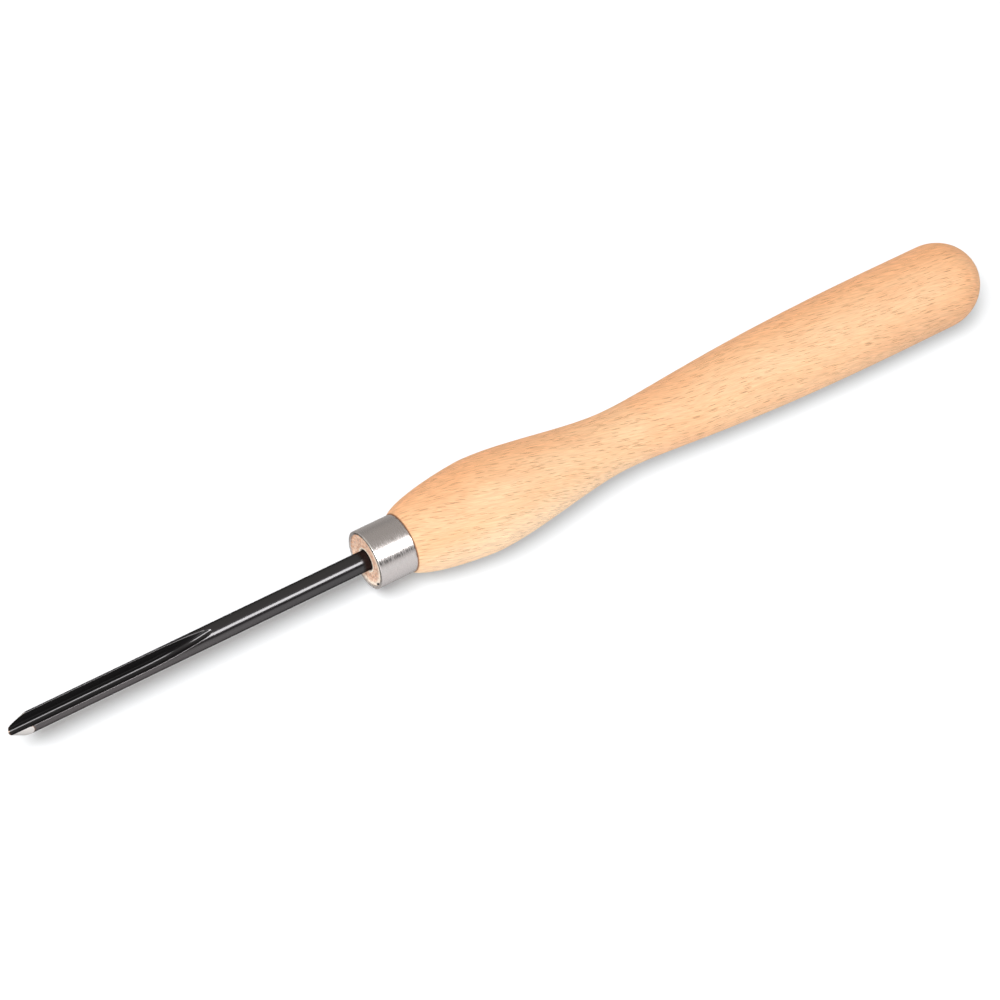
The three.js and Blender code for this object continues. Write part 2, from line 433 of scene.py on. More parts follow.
def black_finish(graph, finishes):
    """Gloss black over steel, with fine lines along the bar and a bronze line along the ground edge."""
    place = graph.object_place()
    x, y, z = graph.parts(place)
    lines = graph.noise(graph.vector(x * 0.06, y * 5, z * 5), detail=3)
    cloud = graph.noise(place, scale=0.12, detail=2)
    dust = graph.noise(place, scale=2.6, detail=4).ramp(0.72, 0.8) * 0.12
    patchy = graph.noise(place, scale=1.6).ramp(0.3, 0.6)
    thinned = graph.attribute("behind_edge").ramp(0.9, 0.05) * patchy
    in_flute = graph.off_axis(y, z).ramp(BAR_RADIUS - 0.1, BAR_RADIUS - 0.5)
    # Painted shade on the bar's last few millimetres before the wood
    by_the_wood = x.ramp(CUT_END - 4, CUT_END - 2.5)
    # Painted light: the blade's side towards the camera is made lighter, short of the wood
    lit_near_side = y.ramp(-2.2, -4.4) * (1 - by_the_wood) * x.ramp(-70, -220)
    base = graph.blend(in_flute, finishes.black, scaled(finishes.black, 0.6))
    base = graph.blend(by_the_wood, base, finishes.wood_shaded_black)
    base = graph.blend(lit_near_side, base, finishes.lit_side_black)
    base = graph.blend(thinned, base, finishes.bronze)
    return {
        "Base Color": graph.blend(dust, base, finishes.dust),
        "Metallic": 0.85 - in_flute * 0.15,
        "Specular Tint": opaque(EDGE_TINT),
        "Roughness": 0.11 - in_flute * 0.05 + lines * 0.05 + cloud * 0.05,
        "Normal": graph.bump(lines, 0.004 * MM, 0.6),
    }


def ground_bevel(graph, finishes):
    """Bare steel with grinding lines that run from the edge to the heel."""
    place = graph.object_place()
    x, y, z = graph.parts(place)
    around = graph.math("ARCTAN2", y, GRIND_CENTRE - z)
    lines = graph.noise(graph.vector(around * 34, x * 0.25, 0), detail=4, roughness=0.62)
    cloud = graph.noise(place, scale=0.5)
    # Painted shade: the bevel is darker along its keel, below the nose
    beside_keel = y.math("ABSOLUTE").ramp(0.6, 3)
    bright = graph.blend(beside_keel, scaled(finishes.ground, 0.64), finishes.ground)
    return {
        "Base Color": graph.toned(bright, 0.84 + lines.ramp(0.3, 0.7) * 0.16),
        "Metallic": 1.0,
        "Roughness": 0.30 + lines * 0.14 + cloud * 0.06,
        "Normal": graph.bump(lines, 0.012 * MM, 0.8),
    }


def satin_steel(graph, finishes):
    """Satin tube polished round: streaks cut its reflections' edges, and a film dulls its rear rim."""
    place = graph.object_place()
    x, y, z = graph.parts(place)
    around = graph.math("ARCTAN2", y, z)
    off_axis = graph.off_axis(y, z)
    streaks = graph.noise(graph.vector(x * 2.2, around * 5, 0), detail=2)
    fine = graph.noise(graph.vector(x * 7, around * 3, 5), detail=2)
    scuff = graph.noise(graph.vector(x * 0.5, y * 0.9, z * 0.9), detail=5, roughness=0.65)
    scuff = scuff.ramp(0.55, 0.75)
    film = x.ramp(REAR_RIM - 1.1, REAR_RIM - 0.2) * graph.noise(place, scale=0.5).ramp(0.4, 0.65) * 0.7
    base = graph.blend(streaks.ramp(0.35, 0.65) * 0.5, finishes.satin, scaled(finishes.satin, 0.9))

    # Front rim: on top, painted shade darkens its inner edge and a painted highlight lights its outer
    # edge
    front_face = x.ramp(FRONT_RIM + 0.3, FRONT_RIM + 0.2)
    # Painted light: the rim's lower half is made paler
    low = front_face * around.math("ABSOLUTE").ramp(1.3, 1.9)
    painted_highlight = x.ramp(FRONT_RIM + 0.5, FRONT_RIM + 0.3) * off_axis.ramp(RIM_RADIUS - 0.7, RIM_RADIUS - 0.5)
    painted_highlight = painted_highlight * around.ramp(0.55, 0.3) * around.ramp(-0.75, -0.5)
    # Painted shade: a dark line along the rim's inner edge, where it meets the wood
    dark = front_face * off_axis.ramp(RIM_RADIUS - 0.45, RIM_RADIUS - 0.75)
    dark = dark * around.ramp(1.25, 0.9) * around.ramp(-1.6, -1.2)
    base = graph.blend(low * 0.8, base, finishes.lit_lower_rim)
    base = graph.blend(painted_highlight, base, finishes.highlight_rim)
    base = graph.blend(dark, base, scaled(finishes.oxide_and_shade, 0.5))
    return {
        "Base Color": graph.blend(film, base, finishes.oxide_and_shade),
        "Metallic": 1.0,
        "Roughness": 0.17 + streaks.ramp(0.3, 0.7) * 0.13 + fine * 0.03 + scuff * 0.05,
        "Normal": graph.bump(streaks + fine * 0.2 + scuff * 0.3, 0.02 * MM),
    }


def end_grain_colour(graph, finishes, y, z):
    """The cut end inside the ferrule: rings and orange spots, paler edges, and a chip painted dark as
    shade.
    """
    cut = graph.vector(y, z, 0)
    off_axis = graph.off_axis(y, z)
    rings = graph.noise(cut, scale=0.65, detail=3, roughness=0.7).ramp(0.42, 0.58)
    spots = graph.noise(cut, scale=0.8, detail=4, roughness=0.8).ramp(0.53, 0.6)
    grit = graph.noise(cut, scale=1.6, detail=2, roughness=0.7)
    # Paler edges round the hole, and near the rim on the side towards the camera
    hole_edge = off_axis.ramp(BORE_RADIUS + 1.2, BORE_RADIUS + 0.8)
    rim_side = y.ramp(2, -4) * off_axis.ramp(9.5, 11.8)
    paler_edges = hole_edge + rim_side * grit.ramp(0.3, 0.5)
    seen = graph.blend(rings, finishes.end_grain, finishes.end_pale)
    seen = graph.blend(spots * 0.9, seen, finishes.end_fleck)
    seen = graph.blend(paler_edges.math("MINIMUM", 0.9), seen, finishes.end_cream)
    seen = graph.toned(seen, 1 + (grit - 0.5) * 1.3)
    # Painted shade: the chip's hollow is darkened almost to black
    return graph.blend(graph.attribute("chip").ramp(0.1, 0.4), seen, scaled(finishes.stain_and_shade, 0.05))


def turned_beech(graph, finishes):
    """Beech: layers and fibres run through the solid, and short flecks along its turned surface."""
    place = graph.object_place()
    x, y, z = graph.parts(place)
    inputs = {"Vector": place, "Angle": GRAIN_TURN}
    turned = graph.node("VectorRotate", {"rotation_type": "X_AXIS"}, inputs)
    along, across, deep = graph.parts(turned.outputs[0])
    arc = graph.math("ARCTAN2", across, deep) * graph.off_axis(y, z)
    # Painted shade: the side of the handle away from the camera is made more orange
    shaded_far_side = across.ramp(3, 22)
    # Painted light: the side towards the camera is paler over the bulb, fading past the waist
    lit_bulb_side = across.ramp(-6, -20) * x.ramp(90, 20)
    # Painted shade: the side towards the camera is darker towards the butt
    shaded_butt_side = across.ramp(-4, -18) * x.ramp(150, 230)
    toward_butt = x.ramp(20, BUTT)
    near_butt = x.ramp(BUTT - 50, BUTT - 8)
    off_dome = x.ramp(BUTT - 3, BUTT - 21)

    # The grain runs across the bulb at a slant and straightens towards the butt
    past_bulb = along + 70
    lean = past_bulb * GRAIN_SLANT - past_bulb * past_bulb * GRAIN_CURVE
    lean = lean - x.ramp(80, 132) * GRAIN_SWERVE
    sway = graph.noise(graph.vector(along * 0.012, across * 0.04, deep * 0.04), detail=1) * 6
    across = across + lean + sway
    arc = arc + lean + sway
    deep = deep + sway * 0.6

    def grain(length_along, width_across, depth_in):
        """A place in the wood, counted in stretches of these sizes in millimetres."""
        return graph.vector(along / length_along, across / width_across, deep / depth_in)

    def flecks(length_along, width_across, rarity, size):
        """Flecks, and the pale edges round them."""
        row = arc / width_across
        cells = graph.cells(graph.vector(along / length_along + row * STAGGER, row, width_across))
        strength = graph.parts(cells.outputs["Color"])[0].ramp(rarity, rarity + 0.3)
        away = Value(graph, cells.outputs["Distance"])
        return away.ramp(size, size * 0.6) * strength, away.ramp(size * 1.9, size * 0.9) * strength

    layers = graph.noise(grain(120, 26, 2.4), detail=2)
    patches = graph.noise(grain(30, 8, 8), detail=2)
    streaks = graph.noise(grain(14, 1.3, 2), detail=3, roughness=0.6)
    fibres = graph.noise(grain(8, 0.36, 2.5), detail=1)
    short, short_edge = flecks(*SHORT_FLECKS)
    faint, faint_edge = flecks(*FAINT_FLECKS)
    long, long_edge = flecks(*LONG_FLECKS)
    marks = faint * 0.15 + short + long * (0.35 + toward_butt * 0.65)
    edges = (short_edge + faint_edge * 0.5 + long_edge).math("MINIMUM", 1)

    warm = (layers * 0.45 + patches * 0.55).ramp(0.35, 0.65) * 0.6 + toward_butt * 0.45
    warm = warm + x.ramp(-28, -42) * 0.5 + x.ramp(50, 64) * x.ramp(100, 80) * 0.7
    wood = graph.blend(warm.math("MINIMUM", 1), finishes.pale_beech, finishes.pink_beech)
    wood = graph.blend(shaded_far_side * 0.75, wood, finishes.orange_beech)
    wood = graph.blend(lit_bulb_side * 0.6, wood, finishes.lit_beech)
    wood = graph.blend(shaded_butt_side * 0.7, wood, scaled(finishes.pink_beech, 0.82))
    wood = graph.blend(near_butt * 0.4, wood, scaled(finishes.orange_beech, 0.9))
    wood = graph.blend(streaks.ramp(0.4, 0.7) * 0.15, wood, scaled(finishes.orange_beech, 0.95))
    wood = graph.toned(wood, 0.99 + (fibres - 0.5) * 0.6 + edges * 0.06)
    wood = graph.blend(marks.math("MINIMUM", 0.9) * off_dome, wood, finishes.fleck)

    # The cut end shows inside the ferrule, and steel has stained the edge of the shoulder
    cut_end = x.ramp(CUT_END + 1.5, CUT_END + 0.8)
    wood = graph.blend(cut_end, wood, end_grain_colour(graph, finishes, y, z))
    stained = x.ramp(REAR_RIM + 0.5, REAR_RIM + 0.15) * x.ramp(REAR_RIM - 1, REAR_RIM)
    return {
        "Base Color": graph.blend(stained * 0.75, wood, finishes.stain_and_shade),
        "Roughness": 0.5 + fibres * 0.1 + short * 0.12,
        "Specular IOR Level": 0.2,
        "Normal": graph.bump(fibres * 0.3 - short * 0.8 - long * 0.9 + streaks * 0.4, 0.045 * MM, 0.7),
    }


def amber_adhesive(graph, finishes):
    """Cured adhesive, slightly cloudy."""
    cloud = graph.noise(graph.object_place(), scale=0.6, detail=3)
    return {
        "Base Color": graph.blend(cloud.ramp(0.3, 0.7), finishes.amber, scaled(finishes.amber, 0.6)),
        "Roughness": 0.25 + cloud * 0.2,
        "Normal": graph.bump(cloud, 0.05 * MM),
    }


def put_in_scene(name, data):
    """A new object with this mesh, lamp or camera."""
    made = bpy.data.objects.new(name, data)
    bpy.context.scene.collection.objects.link(made)
    return made


def make_piece(name, vertices, faces, materials, node):
    """A mesh on the tool that stands for a CAD node."""
    mesh = bpy.data.meshes.new(name)
    mesh.from_pydata(vertices, [], faces)
    for made in materials:
        mesh.materials.append(made)
    piece = put_in_scene(name, mesh)
    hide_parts(node)
    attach(piece, "root")
    return piece


def give_points(mesh, name, values):
    """Keeps a number at each point, for a material to read."""
    mesh.attributes.new(name, "FLOAT", "POINT").data.foreach_set("value", values)


def weld(mesh, sharp_turn):
    """Joins points that meet, points the faces outwards and keeps true edges sharp."""
    shape = bmesh.new()
    shape.from_mesh(mesh)
    bmesh.ops.remove_doubles(shape, verts=shape.verts, dist=WELD_DISTANCE)
    bmesh.ops.dissolve_degenerate(shape, edges=shape.edges, dist=WELD_DISTANCE)
    bmesh.ops.recalc_face_normals(shape, faces=shape.faces)
    for face in shape.faces:
        face.smooth = True
    for edge in shape.edges:
        edge.smooth = edge.calc_face_angle(0) < sharp_turn
    shape.to_mesh(mesh)
    shape.free()


def unit(vector):
    return vector / np.linalg.norm(vector)


def rounded(corner, start, end, steps=6):
    """Points of the circle's arc that leaves start and meets end along their lines to the corner."""
    weight = np.linalg.norm(unit(start - corner) - unit(end - corner)) / 2
    shares = np.linspace(0, 1, steps + 1)[:, None]
    pulls = ((1 - shares) ** 2, 2 * weight * shares * (1 - shares), shares**2)
    return (pulls[0] * start + pulls[1] * corner + pulls[2] * end) / sum(pulls)


def softened(corners, radii):
    """A closed profile of [place, radius] corners, each rounded by its own radius, or not at 0."""
    corners = [np.array(corner, float) for corner in corners]
    profile = []
    for index, (corner, radius) in enumerate(zip(corners, radii)):
        if not radius:
            profile.append(corner)
            continue
        start = corner + radius * unit(corners[index - 1] - corner)
        end = corner + radius * unit(corners[(index + 1) % len(corners)] - corner)
        profile.extend(rounded(corner, start, end))
    return profile


def turned_mesh(profile, closed):
    """Vertices and faces of a profile of [place along X, radius] turned about the tool's axis."""
    angles = np.arange(ROUND_SIDES) * 2 * math.pi / ROUND_SIDES
    profile = np.array(profile)
    rings = np.empty((len(profile), ROUND_SIDES, 3))
    rings[:, :, 0] = profile[:, :1]
    rings[:, :, 1] = profile[:, 1:] * np.sin(angles)
    rings[:, :, 2] = profile[:, 1:] * np.cos(angles) + AXIS_HEIGHT
    return rings.reshape(-1, 3), grid_faces(len(profile), ROUND_SIDES, closed)


def grid_faces(rows, columns, closed=False):
    """Faces between rows of points that run round, and from the last row to the first if closed."""
    faces = []
    for row in range(rows if closed else rows - 1):
        low, high = row * columns, (row + 1) % rows * columns
        for column in range(columns):
            beside = (column + 1) % columns
            faces.append((low + column, low + beside, high + beside, high + column))
    return faces


class BladeForm:
    """The blade's section at each place along it, and the cone of its grind, measured from the nose."""

    # Steps along the section and over the bevel, rings along the blade, and tries that find a rim
    side_steps = 30
    soft_steps = 12
    bevel_steps = 10
    nose_rings = 17
    flute_rings = 20
    run_out_rings = 61
    shank_rings = 14
    halvings = 50

    def __init__(self, sizes):
        self.sizes = sizes
        self.radius = sizes.bar_diameter / 2
        self.lift = math.acos(1 - (sizes.floor_depth + self.radius) / sizes.wheel_radius)
        self.wheel_x = sizes.flute_length - sizes.wheel_radius * math.sin(self.lift)
        self.wheel_z = sizes.wheel_radius - sizes.floor_depth
        self.crest = self.side_steps + self.soft_steps // 2
        self.half = 2 * self.crest

    def flute_at(self, reach, x):
        """Points of the flute, for distances along its section from the middle of the floor."""
        reach = np.asarray(reach, float)
        arc_turn = math.pi / 2 - self.sizes.flare
        radius = self.sizes.floor_radius
        on_arc = np.minimum(reach / radius, arc_turn)
        up_wall = np.maximum(reach - radius * arc_turn, 0)
        across = radius * np.sin(on_arc) + up_wall * math.sin(self.sizes.flare)
        height = radius * (1 - np.cos(on_arc)) + up_wall * math.cos(self.sizes.flare)
        past_wheel = max(x - self.wheel_x, 0)
        z = self.wheel_z - np.sqrt((self.sizes.wheel_radius - height) ** 2 - past_wheel**2)
        return across, z

    def rim_reach(self, x):
        """Distance along the flute's section at which it meets the bar's surface."""
        low, high = 0.0, 3 * self.radius
        for _ in range(self.halvings):
            middle = (low + high) / 2
            inside = np.hypot(*self.flute_at(middle, x)) < self.radius
            low, high = (middle, high) if inside else (low, middle)
        return low if x < self.sizes.flute_length else 0.0

    def half_section(self, x):
        """Points (across, z) from the flute's floor over the softened rim to the bottom of the bar."""
        top = self.rim_reach(x)
        soft = min(self.sizes.rim_softness, top / 3)
        floor = np.array(self.flute_at(np.linspace(0, top - soft, self.side_steps + 1), x)).T
        corner = np.array(self.flute_at(top, x)) if top else np.array([0, self.radius])
        rim_turn = math.atan2(corner[0], corner[1])
        turns = np.linspace(rim_turn + soft / self.radius, math.pi, self.side_steps + 1)
        outside = self.radius * np.array([np.sin(turns), np.cos(turns)]).T
        if top:
            rim = rounded(corner, floor[-1], outside[0], self.soft_steps)[1:-1]
        else:
            floor[:] = corner
            rim = np.tile(corner, (self.soft_steps - 1, 1))
        return np.vstack([floor, rim, outside])

    def section(self, x):
        """The whole section, as one loop of points that starts at the flute's floor."""
        half_points = self.half_section(x)
        mirrored = half_points[-2:0:-1] * (-1, 1)
        return np.vstack([half_points, mirrored])

    def ground_x(self, points):
        """Place along the blade of the ground cone, over points (across, z) of the section."""
        sizes = self.sizes
        lean = sizes.bevel - sizes.cone_half_angle
        axis_x, axis_z = math.cos(lean), -math.sin(lean)
        spread = math.cos(sizes.cone_half_angle) ** 2
        apex_z = sizes.apex_reach * math.tan(sizes.bevel) - sizes.floor_depth
        across = points[..., 0] / sizes.narrow_share
        drop = points[..., 1] - apex_z
        a = axis_x**2 - spread
        b = 2 * axis_x * axis_z * drop
        c = (axis_z * drop) ** 2 - spread * (drop**2 + across**2)
        return (-b + np.sqrt(np.maximum(b * b - 4 * a * c, 0))) / (2 * a) - sizes.apex_reach


def blade_rows(form, blade_length):
    """Rings of points from the ground edge to the shank's end, and how far each is behind the edge."""
    sizes = form.sizes
    nose_section = form.section(0)
    edge = np.column_stack([form.ground_x(nose_section), nose_section])
    clear_x = edge[:, 0].max() + sizes.bar_diameter / 4
    rings = []
    for step in np.linspace(0, 1, form.nose_rings) ** 2:
        ring = edge.copy()
        ring[:, 0] += (clear_x - edge[:, 0]) * step
        rings.append(ring)

    def add_ring(x, shrink=1.0):
        points = form.section(x) * shrink
        rings.append(np.column_stack([np.full(len(points), x), points]))

    for x in np.linspace(clear_x, form.wheel_x, form.flute_rings)[1:]:
        add_ring(x)
    run_out = sizes.flute_length - form.wheel_x
    for step in np.linspace(0, 1, form.run_out_rings)[1:]:
        add_ring(form.wheel_x + run_out * math.sin(step * math.pi / 2))
    chamfer_x = blade_length - sizes.shank_chamfer
    for x in np.linspace(sizes.flute_length, chamfer_x, form.shank_rings)[1:]:
        add_ring(x)
    add_ring(blade_length, (form.radius - sizes.shank_chamfer) / form.radius)
    add_ring(blade_length, 0.0)
    behind = np.concatenate([ring[:, 0] - edge[:, 0] for ring in rings])
    return np.array(rings), behind


def bevel_patch(form, first_free):
    """Points and faces of the bevel, between the loop's flute side and its outside, on both sides.

    Column 0 is the mirror line below the flute, and the last column is the crest of the rim.
    """
    half_points = form.half_section(0)
    inner = half_points[: form.crest + 1]
    outer = half_points[: form.crest - 1 : -1]
    loop_length = 2 * form.half
    points, faces, known = [], [], {}

    def point_number(side, column, step):
        if step == 0:
            return side * column % loop_length
        if step == form.bevel_steps or column == form.crest:
            return side * (form.half - column) % loop_length
        key = (side if column else 1, column, step)
        if key not in known:
            known[key] = first_free + len(points)
            blend = step / form.bevel_steps
            across, z = inner[column] * (1 - blend) + outer[column] * blend
            points.append((form.ground_x(np.array([across, z])), side * across, z))
        return known[key]

    for side in (1, -1):
        for column in range(form.crest):
            for step in range(form.bevel_steps):
                face = [
                    point_number(side, column, step),
                    point_number(side, column + 1, step),
                    point_number(side, column + 1, step + 1),
                    point_number(side, column, step + 1),
                ]
                faces.append(tuple(dict.fromkeys(face)))
    return points, faces


def build_blade(sizes, finishes):
    form = BladeForm(sizes)
    rings, behind = blade_rows(form, SHANK_END_X - NOSE_X)
    body_faces = grid_faces(len(rings), rings.shape[1])
    bevel_points, bevel_faces = bevel_patch(form, rings.shape[0] * rings.shape[1])
    vertices = np.vstack([rings.reshape(-1, 3), np.array(bevel_points)])
    vertices += (NOSE_X, 0, AXIS_HEIGHT)
    materials = [
        material("black_finish", black_finish, finishes),
        material("ground_bevel", ground_bevel, finishes),
    ]
    faces = body_faces + bevel_faces
    mesh = make_piece("fluted_blade", vertices, faces, materials, "gouge_blade").data
    give_points(mesh, "behind_edge", np.concatenate([behind / MM, np.zeros(len(bevel_points))]))
    material_numbers = np.repeat([0, 1], [len(body_faces), len(bevel_faces)])
    mesh.polygons.foreach_set("material_index", material_numbers.astype(np.int32))
    weld(mesh, BEVEL_SHARP_TURN)


def build_ferrule(sizes, finishes):
    bore = FERRULE_RADIUS - sizes.wall
    front, rear = FERRULE_LOW.x, FERRULE_HIGH.x
    corners = [(front, bore), (front, FERRULE_RADIUS), (rear, FERRULE_RADIUS), (rear, bore)]
    rounds = [sizes.inner_round, sizes.outer_round, sizes.outer_round, sizes.inner_round]
    vertices, faces = turned_mesh(softened(corners, rounds), closed=True)
    materials = [material("satin_steel", satin_steel, finishes)]
    piece = make_piece("steel_ferrule", vertices, faces, materials, "ferrule")
    weld(piece.data, SHARP_TURN)


def outline_stretch(start, end, leave, arrive, steps, rise=0):
    """One stretch of the outline, level where it arrives, and where it leaves unless it rises there.

    The pulls of its ends are shares of its length, and the rise is a share of its height.
    """
    start, end = np.array(start), np.array(end)
    run, height = end - start
    pull_out = start + (leave * run, rise * height)
    pull_in = end - (arrive * run, 0)
    t = np.linspace(0, 1, steps + 1)[:, None]
    ends = (1 - t) ** 3 * start + t**3 * end
    return ends + 3 * (1 - t) ** 2 * t * pull_out + 3 * (1 - t) * t**2 * pull_in


def handle_outline(sizes, shoulder_x, scale):
    """Outside of the wood behind its shoulder: neck, bulb, waist, grip and domed butt."""

    def station(place, diameter):
        return (shoulder_x + place, scale * diameter / 2)

    neck = station(sizes.shoulder_chamfer, sizes.shoulder_diameter)
    bulb = station(sizes.bulb_place, sizes.bulb_diameter)
    waist = station(sizes.waist_place, sizes.waist_diameter)
    grip = station(sizes.grip_place, sizes.grip_diameter)
    turns = np.linspace(0, math.pi / 2, DOME_STEPS + 1)
    dome = np.column_stack([
        BUTT_X - sizes.dome_length * (1 - np.sin(turns)),
        grip[1] * np.cos(turns),
    ])
    return np.vstack([
        outline_stretch(neck, bulb, leave=0.19, arrive=0.1, steps=50, rise=0.7),
        outline_stretch(bulb, waist, leave=0.31, arrive=0.3, steps=70)[1:],
        outline_stretch(waist, grip, leave=0.17, arrive=0.63, steps=110)[1:],
        dome,
    ])


def chip_end_grain(vertices, sizes, rim_radius):
    """Pushes in a small chip at the edge of the end grain, longer round the edge than across it."""
    outwards = np.array([0, -math.sin(sizes.chip_turn), -math.cos(sizes.chip_turn)])
    along_edge = np.array([0, -outwards[2], outwards[1]])
    chip_radius = rim_radius - sizes.chip_width * CHIP_INSET
    from_middle = vertices - (END_GRAIN_X, 0, AXIS_HEIGHT) - outwards * chip_radius
    across_chip = from_middle @ outwards / sizes.chip_width
    along_chip = from_middle @ along_edge / sizes.chip_length
    behind_chip = from_middle[:, 0] / sizes.chip_length
    away = np.sqrt(across_chip**2 + along_chip**2 + behind_chip**2)
    depth = np.clip(CHIP_FALL - CHIP_FALL * away, 0, 1)
    vertices[:, 0] += depth * sizes.chip_depth
    return depth


def build_handle(sizes, finishes):
    # The CAD solid is faceted, so its half height is a little less than the bulb's radius
    scale = (WOOD_HIGH.z - WOOD_LOW.z) / sizes.bulb_diameter
    shoulder_x = FERRULE_HIGH.x + sizes.seat_gap
    shoulder = scale * sizes.shoulder_diameter / 2 - sizes.shoulder_chamfer
    ferrule_bore = FERRULE_RADIUS - bpy.context.scene.gouge_ferrule.wall
    spigot = ferrule_bore - sizes.spigot_clearance
    chamfer = sizes.spigot_chamfer
    bore = sizes.bore_diameter / 2
    bore_end = BOND_HIGH.x + sizes.spigot_clearance
    drill_point = bore_end + bore / math.tan(sizes.drill_angle / 2)

    # The end grain is dished, so its rounded rim stands in front of its middle
    rim_x = END_GRAIN_X - sizes.dish
    face_edge = spigot - chamfer
    face_radii = np.linspace(bore + sizes.bore_chamfer, face_edge, FACE_RINGS)
    into_dish = (face_radii - DISH_START * face_edge) / (1 - DISH_START) / face_edge
    face_x = END_GRAIN_X - np.clip(into_dish, 0, 1) ** 2 * sizes.dish
    profile = [
        (drill_point, 0),
        (bore_end, bore),
        (END_GRAIN_X + sizes.bore_chamfer, bore),
        *zip(face_x, face_radii),
        (rim_x + chamfer / 2, spigot - chamfer * 0.15),
        (rim_x + chamfer, spigot),
        (rim_x + 3 * chamfer, spigot),
        (shoulder_x, spigot),
        (shoulder_x, shoulder),
        *handle_outline(sizes, shoulder_x, scale),
    ]
    vertices, faces = turned_mesh(profile, closed=False)
    chip_depth = chip_end_grain(vertices, sizes, spigot)
    materials = [material("turned_beech", turned_beech, finishes)]
    piece = make_piece("beech_handle", vertices, faces, materials, "handle")
    give_points(piece.data, "chip", chip_depth)
    # The paper would glow with the wood's colour in its shadow
    piece.visible_diffuse = False
    weld(piece.data, SHARP_TURN)


class GOUGE_OT_blade(bpy.types.Operator):
    """Builds the fluted blade with its ground nose"""

    bl_idname = "gouge.blade"
    bl_label = "Fluted Blade"

    def execute(self, context):
        build_blade(context.scene.gouge_blade, context.scene.gouge_finishes)
        return {"FINISHED"}


class GOUGE_OT_ferrule(bpy.types.Operator):
    """Builds the satin steel ferrule"""

    bl_idname = "gouge.ferrule"
    bl_label = "Ferrule"

    def execute(self, context):
        build_ferrule(context.scene.gouge_ferrule, context.scene.gouge_finishes)
        return {"FINISHED"}


class GOUGE_OT_handle(bpy.types.Operator):
    """Builds the turned beech handle"""

    bl_idname = "gouge.handle"
    bl_label = "Beech Handle"

    def execute(self, context):
        build_handle(context.scene.gouge_handle, context.scene.gouge_finishes)
        return {"FINISHED"}


class GOUGE_OT_adhesive(bpy.types.Operator):
    """Gives the hidden adhesive its finish"""

    bl_idname = "gouge.adhesive"
    bl_label = "Adhesive"

    def execute(self, context):
        finish = material("amber_adhesive", amber_adhesive, context.scene.gouge_finishes)
        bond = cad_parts["adhesive_bond"]
        bond.data.materials.clear()
        bond.data.materials.append(finish)
        return {"FINISHED"}


def paper_floor(graph, stage):
    """White paper that keeps shadows."""
    tooth = graph.noise(graph.object_place(), scale=0.9, detail=3)
    return {
        "Base Color": opaque(stage.paper),
        "Roughness": 0.9,
        "Specular IOR Level": 0.1,
        "Normal": graph.bump(tooth, 0.01 * MM),
    }


def build_floor(stage):
    half = stage.floor_width / 2
    corners = [(-half, -half, 0), (half, -half, 0), (half, half, 0), (-half, half, 0)]
    mesh = bpy.data.meshes.new("paper_floor")
    mesh.from_pydata(corners, [], [(0, 1, 2, 3)])
    mesh.materials.append(material("paper_floor", paper_floor, stage))
    floor = put_in_scene("paper_floor", mesh)
    # The steel mirrors the surroundings in the world instead of the paper
    floor.visible_glossy = False


def build_softbox(name, radiance, across, along, place):
    """A rectangular lamp that faces the middle of the tool."""
    lamp = bpy.data.lights.new(name, "AREA")
    lamp.shape = "RECTANGLE"
    lamp.size = along
    lamp.size_y = across
    lamp.energy = radiance * math.pi * along * across
    holder = put_in_scene(name, lamp)
    back = (place - MIDDLE).normalized()
    right = Vector((0, 1, 0)).cross(back).normalized()
    facing = Matrix((right, back.cross(right), back)).transposed()
    holder.matrix_world = Matrix.Translation(place) @ facing.to_4x4()
    return holder


def build_lamps(stage):
    """A softbox high towards the nose lights the tool, and a strip along it shows only in the steel."""
    aim = Vector((-math.tan(stage.key_lean), -math.tan(stage.key_turn), 1)).normalized()
    key_place = MIDDLE + stage.key_distance * aim
    build_softbox("key_softbox", stage.key_radiance, stage.key_size, stage.key_size, key_place)
    outwards = Vector((0, -math.sin(stage.strip_turn), math.cos(stage.strip_turn)))
    strip_place = MIDDLE + stage.strip_distance * outwards + Vector((stage.strip_place, 0, 0))
    sides = (stage.strip_width, stage.strip_length)
    strip = build_softbox("strip_softbox", stage.strip_radiance, *sides, strip_place)
    strip.visible_diffuse = False


def build_surroundings(stage):
    """Soft surroundings: a low window in front, shade beyond the nose and a white horizon."""
    world = bpy.data.worlds.new("studio")
    world.use_nodes = True
    bpy.context.scene.world = world
    graph = Graph(world.node_tree)
    x, y, z = graph.parts(graph.node("TexCoord").outputs["Generated"])
    stops = [(0.5 + degrees / FULL_TURN, seen) for degrees, seen in SURROUNDINGS]
    around = graph.math("ARCTAN2", y * -1, z) / (2 * math.pi) + 0.5
    above = z.ramp(-0.1, 0)
    shade = x.ramp(-0.55, -0.75) * above
    window = x.ramp(0.05, -0.2) * x.ramp(-0.8, -0.6) * y.ramp(-0.4, -0.6) * z.ramp(0.7, 0.4) * above
    grey_card = y.ramp(0.5, 0.7) * x.ramp(0, 0.1) * x.ramp(0.6, 0.5)
    horizon = z.ramp(0.2, 0.1) * z.ramp(-0.15, -0.05) * (1 - grey_card)
    seen = graph.node("ValToRGB", {"stops": stops}, {"Fac": around}).outputs["Color"]
    seen = graph.blend(shade, seen, stage.shade)
    seen = graph.blend(window, seen, stage.window)
    seen = graph.blend(horizon, seen, HORIZON)
    sky = graph.node("Background", None, {"Color": seen})
    graph.node("OutputWorld", None, {"Surface": sky.outputs[0]})


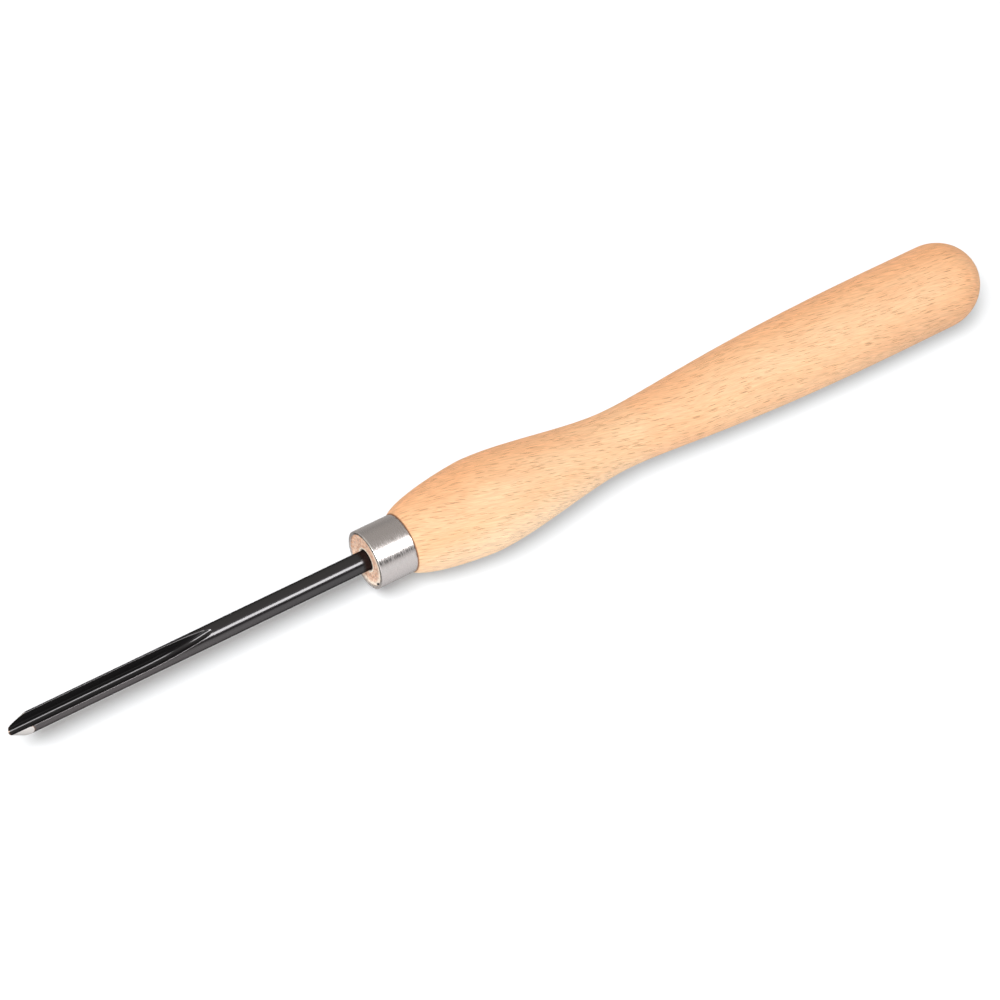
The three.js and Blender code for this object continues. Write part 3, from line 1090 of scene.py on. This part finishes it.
def build_camera(stage):
    """A camera beside the nose, looking along and down at the tool."""
    lean, roll, around = stage.tool_lean, stage.image_turn, stage.camera_turn
    forward = Vector((
        math.sin(lean),
        math.cos(lean) * math.sin(around),
        -math.cos(lean) * math.cos(around),
    ))
    axis_seen = Vector((
        math.cos(lean),
        -math.sin(lean) * math.sin(around),
        math.sin(lean) * math.cos(around),
    ))
    beside = forward.cross(axis_seen)
    right = math.cos(roll) * axis_seen + math.sin(roll) * beside
    up = math.sin(roll) * axis_seen - math.cos(roll) * beside
    foot = Vector((NOSE_X - stage.foot_reach, 0, AXIS_HEIGHT))
    outwards = Vector((0, -math.sin(around), math.cos(around)))
    place = foot + stage.axis_distance * outwards + stage.axis_rise * beside
    lens = bpy.data.cameras.new("camera")
    lens.lens = stage.lens / MM
    lens.sensor_width = SENSOR_WIDTH
    lens.clip_start = CLIP_START
    holder = put_in_scene("camera", lens)
    facing = Matrix((right, up, -forward)).transposed()
    holder.matrix_world = Matrix.Translation(place) @ facing.to_4x4()
    bpy.context.scene.camera = holder


class GOUGE_OT_stage(bpy.types.Operator):
    """Builds the floor, the lamps, the surroundings and the camera"""

    bl_idname = "gouge.stage"
    bl_label = "Stage"

    def execute(self, context):
        stage = context.scene.gouge_stage
        build_floor(stage)
        build_lamps(stage)
        build_surroundings(stage)
        build_camera(stage)
        context.scene.view_settings.view_transform = "Standard"
        return {"FINISHED"}


OPERATORS = (GOUGE_OT_blade, GOUGE_OT_ferrule, GOUGE_OT_handle, GOUGE_OT_adhesive, GOUGE_OT_stage)
GROUPS = {
    "gouge_blade": GougeBladeSizes,
    "gouge_ferrule": GougeFerruleSizes,
    "gouge_handle": GougeHandleSizes,
    "gouge_finishes": GougeFinishes,
    "gouge_stage": GougeStage,
}


class GOUGE_PT_panel(bpy.types.Panel):
    """Sizes, finishes and pieces of the bowl gouge"""

    bl_idname = "GOUGE_PT_panel"
    bl_label = "Bowl Gouge"
    bl_space_type = "VIEW_3D"
    bl_region_type = "UI"
    bl_category = "Gouge"

    def draw(self, context):
        layout = self.layout
        for operator in OPERATORS:
            layout.operator(operator.bl_idname)
        for name, group in GROUPS.items():
            box = layout.box()
            box.label(text=name.replace("_", " ").capitalize())
            for prop in group.__annotations__:
                box.prop(getattr(context.scene, name), prop)


def register():
    for group in GROUPS.values():
        bpy.utils.register_class(group)
    for operator in OPERATORS:
        bpy.utils.register_class(operator)
    bpy.utils.register_class(GOUGE_PT_panel)
    for name, group in GROUPS.items():
        setattr(bpy.types.Scene, name, bpy.props.PointerProperty(type=group))


def unregister():
    for name in GROUPS:
        delattr(bpy.types.Scene, name)
    bpy.utils.unregister_class(GOUGE_PT_panel)
    for operator in reversed(OPERATORS):
        bpy.utils.unregister_class(operator)
    for group in reversed(list(GROUPS.values())):
        bpy.utils.unregister_class(group)


def main():
    register()
    bpy.ops.gouge.blade()
    bpy.ops.gouge.ferrule()
    bpy.ops.gouge.handle()
    bpy.ops.gouge.adhesive()
    bpy.ops.gouge.stage()


if __name__ == "__main__":
    main()
